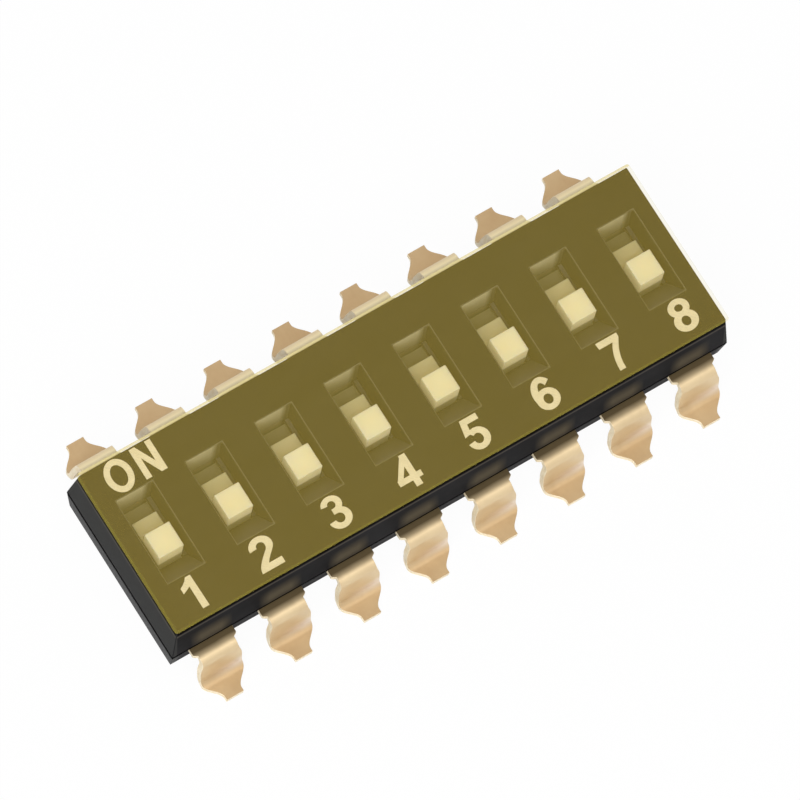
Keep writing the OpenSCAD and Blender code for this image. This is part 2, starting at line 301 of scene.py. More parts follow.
def new_material(name: str) -> tuple[bpy.types.Material, Graph]:
    """A new material and its empty graph."""
    material = bpy.data.materials.new(name)
    return material, Graph(material)


@dataclass(frozen=True)
class BlackMoulding:
    """Black thermoplastic from a lightly spark-eroded mould."""

    name: str
    tone: float = 0.009
    gloss: float = 0.026
    roughness: float = 0.42
    grain: float = 0.003
    hue: Colour = (1.0, 0.97, 1.01)

    def colour(self, graph: Graph, patches: Signal) -> Signal:
        """Base colour that drifts between two near blacks."""
        dark, pale = (
            tuple(self.tone * share * part for part in self.hue) + (1.0,) for share in (0.9, 1.5))
        return graph.mix(patches, dark, pale)

    def make(self) -> bpy.types.Material:
        """Builds the material."""
        material, graph = new_material(self.name)
        where = graph.place()
        cloud = graph.noise(where, 0.5, 3.0)
        flow = graph.noise(graph.stretched((0.25, 1.4, 1.0)), 1.2, 4.0, 0.6)
        pits = graph.noise(where, 6.0, 3.0, 0.6)
        patches = graph.spread(cloud * 0.6 + flow * 0.4, 0.36, 0.66)
        shader = graph.node("ShaderNodeBsdfPrincipled", None, {
            "Base Color": self.colour(graph, patches),
            "Roughness": graph.spread(flow * 0.5 + pits * 0.5, 0.3, 0.7,
                                      self.roughness - 0.05, self.roughness + 0.08),
            "Specular IOR Level": self.gloss,
            "Normal": graph.bump(pits, 0.35, self.grain),
        })
        graph.surface(shader)
        return material


@dataclass(frozen=True)
class PaintedEdgeHighlight(BlackMoulding):
    """Rounded edges of the cover, with a painted highlight around the slots' mouths only."""

    name: str = "moulding_edge_painted_highlight"
    painted_light: tuple[int, int, int] = (103, 99, 82)
    mouth_z: tuple[float, float] = (3.5, 3.62)
    reach_x: tuple[float, float] = (9.7, 9.9)
    reach_y: tuple[float, float] = (2.2, 2.5)

    def colour(self, graph: Graph, patches: Signal) -> Signal:
        """Base colour with the painted highlight at the mouths, plain deeper down and at the sides.
        """
        # painted highlight: pale only near the top of the slots' mouths, away from the ends and long
        # sides
        mouth = (graph.spread(graph.coordinate(2), *self.mouth_z)
                 * graph.spread(graph.aside(0), *self.reach_x, 1.0, 0.0)
                 * graph.spread(graph.aside(1), *self.reach_y, 1.0, 0.0))
        return graph.mix(mouth, super().colour(graph, patches), linear(*self.painted_light))


@dataclass(frozen=True)
class CoverSide(BlackMoulding):
    """Drafted side of the cover, with a painted shadow at its top, a painted highlight line below
    it, painted light at its ends and, in front, a painted reflection over each lead.
    """

    name: str = "cover_side"
    tone: float = 0.017
    gloss: float = 0.004
    lip_z: float = 3.31
    line_z: float = 3.22
    line_half: float = 0.09
    end_x: float = 10.12
    lead_reflection_half: float = 0.62
    # colours of the painted reflection of the leads, the painted highlight line, the painted light
    # at the ends and the painted shadow
    painted_lead_reflection: tuple[int, int, int] = (88, 80, 66)
    line: tuple[int, int, int] = (82, 77, 71)
    end: tuple[int, int, int] = (60, 60, 59)
    painted_shadow: tuple[float, float, float, float] = (0.001, 0.001, 0.001, 1.0)

    def colour(self, graph: Graph, patches: Signal) -> Signal:
        """Base colour with a painted shadow at the lip, a painted highlight line, painted light at
        the ends and the painted lead reflections.
        """
        height = graph.coordinate(2)
        aside = graph.node("ShaderNodeMath", {"operation": "ABSOLUTE"}, {0: graph.in_pitch()})
        # painted light: the ends of the side are paler
        ends = graph.spread(graph.aside(0), self.end_x, self.end_x + 0.02)
        # painted reflection of each front lead on the side above it
        painted_lead_reflection = (graph.spread(height, 2.9, 2.3) * graph.spread(height, 1.8, 2.1, 0.5, 1.0)
                 * graph.spread(graph.coordinate(1), 0.0, -1.0)
                 * graph.spread(aside + patches * 0.1, self.lead_reflection_half - 0.2,
                                self.lead_reflection_half + 0.2, 1.0, 0.0))
        # painted highlight line below the top of the side
        line = (graph.spread(height, self.line_z - self.line_half, self.line_z)
                * graph.spread(height, self.line_z + self.line_half, self.line_z))
        # painted shadow under the film's overhang at the top of the side
        dark = graph.spread(height, self.lip_z - 0.03, self.lip_z + 0.03)
        tone = graph.mix(painted_lead_reflection, super().colour(graph, patches), linear(*self.painted_lead_reflection))
        tone = graph.mix(ends, tone, linear(*self.end))
        tone = graph.mix(line, tone, linear(*self.line))
        return graph.mix(dark, tone, self.painted_shadow)


@dataclass(frozen=True)
class BaseSide(BlackMoulding):
    """Lower moulding with painted shade at its groove under the cover, painted light at its ends and
    painted light inside under the slots.
    """

    name: str = "base_black"
    tone: float = 0.03
    gloss: float = 0.002
    dark_z: float = 1.54
    end_x: float = 10.0
    # colours of the painted light at the ends and inside, and of the painted shadow
    end: tuple[int, int, int] = (90, 90, 90)
    inner: tuple[int, int, int] = (168, 160, 128)
    inner_y: float = 2.4
    painted_shadow: tuple[float, float, float, float] = (0.001, 0.001, 0.001, 1.0)

    def colour(self, graph: Graph, patches: Signal) -> Signal:
        """Base colour by place, with the painted shade and the painted light."""
        # painted shade in the groove under the cover's skirt
        groove = graph.spread(graph.coordinate(2), self.dark_z - 0.03, self.dark_z + 0.03)
        # painted light on the ends
        ends = graph.spread(graph.aside(0), self.end_x, self.end_x + 0.02)
        # painted light inside the base, seen through the slots
        inside = (graph.spread(graph.aside(1), self.inner_y, self.inner_y + 0.1, 1.0, 0.0)
                  * graph.spread(graph.aside(0), 9.7, 9.8, 1.0, 0.0)
                  * graph.spread(graph.coordinate(2), 0.6, 0.7))
        tone = graph.mix(ends, super().colour(graph, patches), linear(*self.end))
        tone = graph.mix(groove, tone, self.painted_shadow)
        return graph.mix(inside, tone, linear(*self.inner))


@dataclass(frozen=True)
class SlotEndWall(BlackMoulding):
    """Wall at the ON end of a slot, with painted light from its rim downwards and painted shade at
    its right corner.
    """

    name: str = "cover_slot_end"
    painted_light: tuple[int, int, int] = (222, 214, 178)
    low_z: float = 1.3
    rim_z: float = 3.62

    def colour(self, graph: Graph, patches: Signal) -> Signal:
        """Base colour that fades from painted light at the rim to the plain dark floor, with painted
        shade at the right corner.
        """
        # painted light fading down from the rim
        height = graph.spread(graph.coordinate(2) + patches * 0.25 - 0.12, self.low_z, self.rim_z)
        # painted shade at the right corner
        corner = graph.spread(graph.in_pitch(), 0.3, 0.52, 1.0, 0.12)
        return graph.mix(height * corner, super().colour(graph, patches), linear(*self.painted_light))


@dataclass(frozen=True)
class CreamMoulding:
    """Off-white sliders with a satin surface and some subsurface scattering; painted light glows
    from their sides and painted shade darkens their stems.
    """

    name: str = "slider_cream"
    # heights of the painted shade on the stems, then the colour of the painted light on the sides
    stem_z: tuple[float, float] = (2.9, 2.8)
    glow: Colour = (0.21, 0.175, 0.095)

    def make(self) -> bpy.types.Material:
        """Builds the material."""
        material, graph = new_material(self.name)
        where = graph.place()
        cloud = graph.noise(where, 0.9, 3.0)
        pits = graph.noise(where, 8.0, 2.0, 0.6)
        scuff = graph.noise(graph.stretched((3.0, 0.5, 3.0)), 3.0, 4.0, 0.65)
        tone = graph.mix(graph.spread(cloud, 0.35, 0.68), linear(253, 239, 192),
                         linear(255, 243, 202))
        tone = graph.mix(graph.spread(scuff, 0.62, 0.8, 0.0, 0.2), tone, linear(228, 208, 158))
        # painted shade: the stems, low in the slots, are darker
        low = graph.spread(graph.coordinate(2), *self.stem_z)
        tone = graph.mix(low, tone, linear(229, 216, 168))
        # painted light: the sides between the knob's top and its stem glow by emission
        sides = (graph.spread(graph.coordinate(2), 3.56, 3.5)
                 * graph.spread(graph.coordinate(2), 2.8, 2.95))
        shader = graph.node("ShaderNodeBsdfPrincipled", None, {
            "Base Color": tone,
            "Roughness": graph.spread(pits * 0.6 + scuff * 0.4, 0.3, 0.7, 0.38, 0.5),
            "Specular IOR Level": 0.3,
            "Subsurface Weight": 0.4,
            "Subsurface Radius": (1.0, 0.8, 0.5),
            "Subsurface Scale": 0.35 * MM,
            "Emission Color": graph.mix(sides, (0.0, 0.0, 0.0, 1.0), (*self.glow, 1.0)),
            "Emission Strength": 1.0,
            "Normal": graph.bump(pits, 0.25, 0.003),
        })
        graph.surface(shader)
        return material


@dataclass(frozen=True)
class AmberFilm:
    """Thin clear amber film; its alpha counts once for each of its two faces."""

    name: str
    tint: tuple[int, int, int]
    cover: float
    roughness: float = 0.5

    def make(self) -> bpy.types.Material:
        """Builds the material."""
        material, graph = new_material(self.name)
        where = graph.place()
        drift = graph.noise(where, 0.22, 3.0, 0.55)
        streak = graph.noise(graph.stretched((0.15, 2.0, 1.0)), 1.2, 3.0, 0.55)
        bubble = graph.noise(where, 2.5, 2.0, 0.5)
        pale = linear(*self.tint)
        deep = tuple(level * share for level, share in zip(pale, (0.96, 0.95, 0.9, 1.0)))
        shader = graph.node("ShaderNodeBsdfPrincipled", None, {
            "Base Color": graph.mix(graph.spread(drift * 0.7 + streak * 0.3, 0.36, 0.64),
                                    pale, deep),
            "Roughness": graph.spread(streak, 0.3, 0.7, self.roughness - 0.05,
                                      self.roughness + 0.1),
            "Alpha": graph.spread(drift * 0.7 + bubble * 0.3, 0.3, 0.7,
                                  self.cover - 0.003, self.cover + 0.003),
            "Specular IOR Level": 0.1,
            "Normal": graph.bump(drift * 0.8 + streak * 0.2, 0.2, 0.02),
        })
        graph.surface(shader)
        return material


@dataclass(frozen=True)
class PrintedInk:
    """Cream ink, a little uneven where it was screened."""

    name: str = "print_ink"

    def make(self) -> bpy.types.Material:
        """Builds the material."""
        material, graph = new_material(self.name)
        where = graph.place()
        mottle = graph.noise(where, 3.0, 3.0, 0.6)
        screen = graph.noise(where, 10.0, 2.0, 0.5)
        tone = graph.mix(graph.spread(mottle, 0.36, 0.66), linear(240, 228, 184),
                         linear(248, 236, 194))
        shader = graph.node("ShaderNodeBsdfPrincipled", None, {
            "Base Color": tone,
            "Roughness": graph.spread(screen, 0.3, 0.7, 0.5, 0.65),
            "Specular IOR Level": 0.3,
            "Normal": graph.bump(screen, 0.25, 0.004),
        })
        graph.surface(shader)
        return material


@dataclass(frozen=True)
class PlatedStrip:
    """Pale copper-gold plating on rolled strip, browner lower down, with a painted reflection of the
    package near it and painted highlights on the front calves and the back leads' upper bends.
    """

    name: str
    pale: tuple[int, int, int]
    warm: tuple[int, int, int]
    metallic: float = 0.5
    roughness: float = 0.42
    warm_z: float = 0.15
    pale_z: float = 0.5
    # colour and reach of the painted reflection of the package, then the colours of the painted
    # highlights
    painted_body_reflection_colour: tuple[int, int, int] = (92, 77, 49)
    painted_body_reflection_out: tuple[float, float] = (3.36, 3.66)
    gleam: tuple[int, int, int] = (244, 230, 216)
    crown: tuple[int, int, int] = (248, 231, 186)
    crown_z: tuple[float, float] = (1.0, 1.5)

    def make(self) -> bpy.types.Material:
        """Builds the material."""
        material, graph = new_material(self.name)
        where = graph.place()
        cloud = graph.noise(where, 1.1, 3.0, 0.55)
        rolling = graph.noise(graph.stretched((8.0, 0.7, 0.7)), 1.2, 3.0, 0.5)
        # browner lower down, towards the foot
        height = graph.spread(graph.coordinate(2), self.warm_z, self.pale_z)
        share = graph.spread(height * 0.8 + cloud * 0.5 + rolling * 0.1, 0.15, 1.15, 1.0, 0.0)
        # painted reflection of the black package on the strip near its side
        painted_body_reflection = graph.spread(graph.aside(1) + cloud * 0.06, *self.painted_body_reflection_out, 1.0, 0.0)
        plating = graph.mix(share, linear(*self.pale), linear(*self.warm))
        # painted highlight on the lower calf of the front leads
        gleam = (graph.spread(graph.in_pitch(), -0.45, 0.45)
                 * graph.spread(graph.coordinate(1), -3.0, -3.2)
                 * graph.spread(graph.coordinate(2), 0.24, 0.4)
                 * graph.spread(graph.coordinate(2), 0.8, 0.55))
        plating = graph.mix(gleam * 0.7, plating, linear(*self.gleam))
        # painted highlight on the upper bend of the back leads
        crown = (graph.spread(graph.coordinate(2), *self.crown_z)
                 * graph.spread(graph.coordinate(1), 3.1, 3.2)
                 * graph.spread(graph.coordinate(1), 3.86, 3.58))
        plating = graph.mix(crown, plating, linear(*self.crown))
        shader = graph.node("ShaderNodeBsdfPrincipled", None, {
            "Base Color": graph.mix(painted_body_reflection, plating, linear(*self.painted_body_reflection_colour)),
            "Metallic": self.metallic,
            "Roughness": graph.spread(rolling * 0.5 + cloud * 0.5, 0.3, 0.7,
                                      self.roughness - 0.04, self.roughness + 0.06),
            "Normal": graph.bump(cloud * 0.8 + rolling * 0.2, 0.08, 0.004),
        })
        graph.surface(shader)
        return material


@dataclass(frozen=True)
class CutStrip:
    """Sheared edge of the plated strip, paler and duller than its faces."""

    name: str = "lead_cut_edge"
    pale: tuple[int, int, int] = (251, 238, 208)
    dull: tuple[int, int, int] = (243, 224, 186)

    def make(self) -> bpy.types.Material:
        """Builds the material."""
        material, graph = new_material(self.name)
        shear = graph.noise(graph.stretched((1.0, 1.0, 0.4)), 6.0, 3.0, 0.6)
        shader = graph.node("ShaderNodeBsdfPrincipled", None, {
            "Base Color": graph.mix(graph.spread(shear, 0.35, 0.65), linear(*self.pale),
                                    linear(*self.dull)),
            "Metallic": 0.1,
            "Roughness": graph.spread(shear, 0.3, 0.7, 0.45, 0.6),
            "Normal": graph.bump(shear, 0.2, 0.004),
        })
        graph.surface(shader)
        return material


@dataclass(frozen=True)
class PaperFloor:
    """Pale floor that shows white to the camera and keeps a soft shadow."""

    name: str = "floor_paper"
    white: float = 0.96

    def make(self) -> bpy.types.Material:
        """Builds the material."""
        material, graph = new_material(self.name)
        grain = graph.noise(graph.place(), 2.0, 3.0)
        paper = graph.node("ShaderNodeBsdfPrincipled", None, {
            "Base Color": graph.mix(grain, (0.95, 0.95, 0.95, 1.0), (0.99, 0.99, 0.99, 1.0)),
            "Roughness": 0.9,
            "Specular IOR Level": 0.0,
        })
        glow = graph.node("ShaderNodeEmission", None, {"Color": (1, 1, 1, 1), "Strength": 1.0})
        share = seen_directly(graph) * self.white
        graph.surface(graph.node("ShaderNodeMixShader", None, {0: share, 1: paper, 2: glow}))
        return material


def seen_directly(graph: Graph) -> Signal:
    """1 for rays from the camera, mirrored rays and rays through clear pieces, otherwise 0."""
    camera = graph.node("ShaderNodeLightPath", output="Is Camera Ray")
    mirrored = graph.node("ShaderNodeLightPath", output="Is Glossy Ray")
    through = graph.node("ShaderNodeLightPath", output="Is Transmission Ray")
    return graph.node("ShaderNodeMath", {"operation": "MAXIMUM"}, {
        0: camera,
        1: graph.node("ShaderNodeMath", {"operation": "MAXIMUM"}, {0: mirrored, 1: through}),
    })


@dataclass
class Draft:
    """Points and faces of one piece, in millimetres."""

    points: list[Point] = field(default_factory=list)
    faces: list[tuple[int, ...]] = field(default_factory=list)
    slots: list[int] = field(default_factory=list)

    def point(self, x: float, y: float, z: float) -> int:
        """Adds one point and returns its number."""
        self.points.append((x, y, z))
        return len(self.points) - 1

    def face(self, corners: Iterable[int], slot: int = 0) -> None:
        """Adds one face with a material slot."""
        self.faces.append(tuple(corners))
        self.slots.append(slot)

    def loop(self, corners: Iterable[Point]) -> list[int]:
        """Adds a closed row of points and returns their numbers."""
        return [self.point(*corner) for corner in corners]

    def wall(self, first: Sequence[int], second: Sequence[int], slot: int = 0) -> None:
        """Joins two closed rows of points with a band of faces."""
        count = len(first)
        for k in range(count):
            n = (k + 1) % count
            self.face((first[k], first[n], second[n], second[k]), slot)

    def box(self, low: Point, high: Point, slot: int = 0) -> None:
        """Adds a closed box between two corners."""
        rings = [
            self.loop([(low[0], low[1], z), (high[0], low[1], z), (high[0], high[1], z),
                       (low[0], high[1], z)])
            for z in (low[2], high[2])
        ]
        self.wall(rings[0], rings[1], slot)
        self.face(reversed(rings[0]), slot)
        self.face(rings[1], slot)

    def build(self, name: str, materials: Sequence[bpy.types.Material],
              smooth_angle: float = 30.0) -> bpy.types.Object:
        """Makes the object.

        Args:
            name: Name of the piece.
            materials: Its materials in slot order.
            smooth_angle: Faces that meet at less than this shade as one surface, in degrees.

        Returns:
            The new object, linked into the scene.
        """
        mesh = bpy.data.meshes.new(name)
        mesh.from_pydata([tuple(c * MM for c in p) for p in self.points], [], self.faces)
        for polygon, slot in zip(mesh.polygons, self.slots):
            polygon.material_index = slot
        shape = bmesh.new()
        shape.from_mesh(mesh)
        bmesh.ops.remove_doubles(shape, verts=shape.verts, dist=1e-7)
        bmesh.ops.recalc_face_normals(shape, faces=shape.faces)
        shape.to_mesh(mesh)
        shape.free()
        for material in materials:
            mesh.materials.append(material)
        mesh.shade_smooth()
        mesh.set_sharp_from_angle(angle=math.radians(smooth_angle))
        piece = bpy.data.objects.new(name, mesh)
        bpy.context.scene.collection.objects.link(piece)
        return piece


def round_edges(piece: bpy.types.Object, width: float, segments: int = 2,
                angle: float = 35.0, slot: int = -1, clamp: bool = True) -> None:
    """Rounds the sharp edges of a piece.

    Args:
        piece: The piece.
        width: Width of the rounding in millimetres.
        segments: Faces across the rounding.
        angle: Edges sharper than this are rounded, in degrees.
        slot: Material slot of the rounding; -1 follows the faces beside it.
        clamp: Whether short edges make every rounding narrower.
    """
    bevel = piece.modifiers.new("edge_rounding", "BEVEL")
    bevel.width = width * MM
    bevel.segments = segments
    bevel.limit_method = "ANGLE"
    bevel.angle_limit = math.radians(angle)
    bevel.use_clamp_overlap = clamp
    bevel.material = slot
    bevel.harden_normals = True


def seat(piece: bpy.types.Object, body: str, slot: str, *nodes: str) -> None:
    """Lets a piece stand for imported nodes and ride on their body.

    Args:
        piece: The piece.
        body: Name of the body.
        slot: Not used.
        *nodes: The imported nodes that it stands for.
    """
    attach(piece, body)
    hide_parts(*nodes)
    log.info("%s stands for %s on %s", piece.name, ", ".join(nodes), body)


def dress(node: bpy.types.Object, material: bpy.types.Material) -> None:
    """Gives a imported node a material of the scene."""
    node.data.materials.clear()
    node.data.materials.append(material)
    log.info("%s keeps its solid and takes %s", node.name, material.name)


@dataclass
class Cover:
    """Upper moulding with its row of slots."""

    end_draft: float = 0.17
    side_draft: float = 0.23
    groove_height: float = 0.06
    groove_depth: float = 0.12
    slot_width: float = 1.34
    rim_front: float = -1.45
    rim_back: float = 1.65
    slot_depth: float = 1.35
    floor_front: float = -0.64
    floor_back: float = 1.61
    guide_width: float = 0.96
    cavity_width: float = 1.5
    ledge_thick: float = 0.15
    edge: float = 0.028

    def lattice(self, draft: Draft, xs: Sequence[float], ys: Sequence[float],
                z: float) -> list[list[int]]:
        """Adds a grid of points at one height and returns their numbers by column and row."""
        return [[draft.point(x, y, z) for y in ys] for x in xs]

    def rim(self, grid: list[list[int]]) -> list[int]:
        """Closed row of the grid's outer points."""
        last = len(grid) - 1
        return (
            [grid[i][0] for i in range(last)]
            + [grid[last][j] for j in range(3)]
            + [grid[i][3] for i in range(last, 0, -1)]
            + [grid[0][j] for j in range(3, 0, -1)]
        )

    def cell(self, grid: list[list[int]], column: int) -> list[int]:
        """Corners of the hole in one column of the grid."""
        return [grid[column][1], grid[column + 1][1], grid[column + 1][2], grid[column][2]]

    def plate(self, draft: Draft, grid: list[list[int]]) -> None:
        """Covers the grid with faces, with a hole in the middle of every second column."""
        for i in range(len(grid) - 1):
            for j in range(3):
                if i % 2 == 0 or j != 1:
                    draft.face((grid[i][j], grid[i + 1][j], grid[i + 1][j + 1], grid[i][j + 1]))

    def hole(self, draft: Draft, x: float, top: list[int], bottom: list[int],
             floor_z: float) -> None:
        """Lines one slot from its rim down to the room of the flange.

        Args:
            draft: The draft of the cover.
            x: Middle of the slot.
            top: Corners of its rim.
            bottom: Corners of the flange's room at the parting line.
            floor_z: Height of the slot's floor.
        """
        def rect(width: float, z: float) -> list[int]:
            """Corners of a level opening."""
            return draft.loop([
                (x - width / 2, self.floor_front, z), (x + width / 2, self.floor_front, z),
                (x + width / 2, self.floor_back, z), (x - width / 2, self.floor_back, z)])

        roof_z = floor_z - self.ledge_thick
        floor = rect(self.slot_width, floor_z)
        guide = rect(self.guide_width, floor_z)
        guide_low = rect(self.guide_width, roof_z)
        room = rect(self.cavity_width, roof_z)
        for k in range(4):
            n = (k + 1) % 4
            # the front ramp takes slot 3 and the ON-end wall slot 2, both with painted light
            draft.face((top[k], top[n], floor[n], floor[k]), {0: 3, 2: 2}.get(k, 0))
        levels = [floor, guide, guide_low, room, bottom]
        # the floors and guide walls take slot 3, the paler copy with painted light
        for upper, lower in zip(levels, levels[1:]):
            draft.face((upper[0], upper[3], lower[3], lower[0]), 3)
            draft.face((upper[1], upper[2], lower[2], lower[1]), 3)
        for left, right, finish in ((0, 1, 3), (3, 2, 2)):
            outline = [level[right] for level in levels]
            outline += [level[left] for level in reversed(levels)]
            draft.face(outline, finish)

    def build(self, finishes: Sequence[bpy.types.Material]) -> bpy.types.Object:
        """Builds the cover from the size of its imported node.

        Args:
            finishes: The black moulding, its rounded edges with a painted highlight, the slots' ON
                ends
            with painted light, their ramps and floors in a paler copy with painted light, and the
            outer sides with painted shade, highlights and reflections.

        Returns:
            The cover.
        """
        low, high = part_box("cover")
        half_x, half_y = high[0] / MM, high[1] / MM
        top_z, low_z = high[2] / MM, low[2] / MM
        top_x, top_y = half_x - self.end_draft, half_y - self.side_draft
        row = [middle_x(f"slider_{i}") for i in range(1, POSITIONS + 1)]

        def columns(width: float, reach: float) -> list[float]:
            """Grid lines along the row."""
            inner = [x + side * width / 2 for x in row for side in (-1, 1)]
            return [-reach, *inner, reach]

        def rows(front: float, back: float, reach: float) -> list[float]:
            """Grid lines across the row."""
            return [-reach, front, back, reach]

        draft = Draft()
        inset = self.groove_depth
        groove_z = low_z + self.groove_height
        top = self.lattice(draft, columns(self.slot_width, top_x),
                           rows(self.rim_front, self.rim_back, top_y), top_z)
        skirt = self.lattice(draft, columns(self.slot_width, half_x),
                             rows(self.rim_front, self.rim_back, half_y), groove_z)
        step = self.lattice(draft, columns(self.slot_width, half_x - inset),
                            rows(self.rim_front, self.rim_back, half_y - inset), groove_z)
        under = self.lattice(draft, columns(self.cavity_width, half_x - inset),
                             rows(self.floor_front, self.floor_back, half_y - inset), low_z)
        self.plate(draft, top)
        self.plate(draft, under)
        rims = [self.rim(grid) for grid in (top, skirt, step, under)]
        for upper, lower, slot in zip(rims, rims[1:], (4, 0, 0)):
            draft.wall(upper, lower, slot)
        for k, x in enumerate(row):
            self.hole(draft, x, self.cell(top, 2 * k + 1), self.cell(under, 2 * k + 1),
                      top_z - self.slot_depth)
        piece = draft.build("cover_moulding", finishes)
        mesh = piece.data
        shape = bmesh.new()
        shape.from_mesh(mesh)
        loose = [v for v in shape.verts if not v.link_faces]
        bmesh.ops.delete(shape, geom=loose, context="VERTS")
        shape.to_mesh(mesh)
        shape.free()
        # the rounded edges take slot 1, the painted highlight
        round_edges(piece, self.edge, 2, slot=1, clamp=False)
        seat(piece, HOUSING, "cover_moulding", "cover")
        return piece


@dataclass
class Base:
    """Lower moulding around the leads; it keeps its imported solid."""

    edge: float = 0.02

    def dress(self, node: bpy.types.Object, finish: bpy.types.Material,
              edges: bpy.types.Material) -> None:
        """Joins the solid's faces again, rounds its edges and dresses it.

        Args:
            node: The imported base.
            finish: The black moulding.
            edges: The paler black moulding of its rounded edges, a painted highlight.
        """
        weld = node.modifiers.new("join_faces", "WELD")
        weld.merge_threshold = 1e-7
        # the rounded edges take slot 1, the painted highlight
        round_edges(node, self.edge, 2, 40.0, 1)
        dress(node, finish)
        node.data.materials.append(edges)


@dataclass
class Film:
    """Amber film over the cover, with a rim that shows its cut edge."""

    end_rim: float = 0.09
    side_rim: float = 0.07
    corner: float = 0.1
    corner_steps: int = 5

    def outline(self, half_x: float, half_y: float, radius: float, z: float) -> list[Point]:
        """Rectangle with round corners.

        Args:
            half_x: Half its length.
            half_y: Half its width.
            radius: Radius of its corners.
            z: Its height.

        Returns:
            Its points in order.
        """
        points = []
        for turn, (sx, sy) in enumerate(((1, -1), (1, 1), (-1, 1), (-1, -1))):
            for k in range(self.corner_steps + 1):
                angle = math.radians(90 * (turn - 1 + k / self.corner_steps))
                points.append((sx * (half_x - radius) + radius * math.cos(angle),
                               sy * (half_y - radius) + radius * math.sin(angle), z))
        return points

    @staticmethod
    def rim_slot(along: float, across: float) -> int:
        """Material slot of the rim.

        Args:
            along: Place along the row, from -1 at the left to 1 at the right end.
            across: Place across the row, from -1 at the front to 1 at the back.

        Returns:
            1 at the front and left, 2 at the back, 3 at the right; each slot holds a copy of the
            film with the painted light and shade of that side.
        """
        if along + across < 0.1:
            return 1
        return 2 if across > 0.98 else 3

    def build(self, finishes: Sequence[bpy.types.Material]) -> bpy.types.Object:
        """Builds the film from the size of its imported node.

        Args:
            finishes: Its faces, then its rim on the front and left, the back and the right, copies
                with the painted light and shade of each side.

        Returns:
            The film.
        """
        low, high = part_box("sealing_film")
        half_x, half_y = high[0] / MM, high[1] / MM
        low_z, high_z = low[2] / MM, high[2] / MM
        draft = Draft()
        inner = (half_x - self.end_rim, half_y - self.side_rim, self.corner - self.side_rim)
        outer = (half_x, half_y, self.corner)
        top_inner = draft.loop(self.outline(*inner, high_z))
        top_outer = draft.loop(self.outline(*outer, high_z))
        low_outer = draft.loop(self.outline(*outer, low_z))
        low_inner = draft.loop(self.outline(*inner, low_z))
        draft.face(top_inner)
        draft.face(low_inner)
        loops = [top_inner, top_outer, low_outer, low_inner]
        for first, second in zip(loops, loops[1:]):
            for k in range(len(first)):
                n = (k + 1) % len(first)
                x, y, _ = draft.points[top_outer[k]]
                x_n, y_n, _ = draft.points[top_outer[n]]
                draft.face((first[k], first[n], second[n], second[k]),
                           self.rim_slot((x + x_n) / 2 / half_x, (y + y_n) / 2 / half_y))
        piece = draft.build("amber_film", finishes)
        seat(piece, HOUSING, "film", "sealing_film")
        return piece


@dataclass
class Actuator:
    """One slider with its spring strip; it rides on its own body."""

    number: int
    stem_recess: float = 0.9
    knob_recess: float = 0.12
    knob_length: float = 0.9
    knob_width: float = 0.9
    flange_thick: float = 0.2
    edge: float = 0.045
    peg_r: float = 0.1

    def build(self, top_z: float, finish: bpy.types.Material) -> bpy.types.Object:
        """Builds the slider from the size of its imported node.

        Args:
            top_z: Height of the cover's top in millimetres.
            finish: The cream moulding.

        Returns:
            The slider.
        """
        node = f"slider_{self.number}"
        low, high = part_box(node)
        x = middle_x(node)
        front, back = low[1] / MM, high[1] / MM
        peg_low = low[2] / MM
        strip_low, strip_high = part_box(f"moving_contact_{self.number}")
        flange_z = strip_high[2] / MM
        half = self.knob_width / 2
        knob_z = top_z - self.knob_recess
        stem_z = top_z - self.stem_recess
        profile = [
            (front, flange_z), (front, knob_z), (front + self.knob_length, knob_z),
            (front + self.knob_length, stem_z), (back, stem_z), (back, flange_z)]
        draft = Draft()
        left = draft.loop([(x - half, y, z) for y, z in profile])
        right = draft.loop([(x + half, y, z) for y, z in profile])
        draft.wall(left, right)
        draft.face(left)
        draft.face(reversed(right))
        draft.box((low[0] / MM, front, flange_z), (high[0] / MM, back, flange_z + self.flange_thick))
        peg_y = (strip_low[1] + strip_high[1]) / 2 / MM
        rings = [
            draft.loop([
                (x + self.peg_r * math.cos(math.tau * k / 16),
                 peg_y + self.peg_r * math.sin(math.tau * k / 16), z) for k in range(16)])
            for z in (peg_low, flange_z)
        ]
        draft.wall(rings[0], rings[1])
        draft.face(rings[0])
        draft.face(reversed(rings[1]))
        piece = draft.build(f"slider_knob_{self.number}", [finish])
        round_edges(piece, self.edge, 3)
        seat(piece, f"actuator_{self.number}", "slider", node)
        return piece


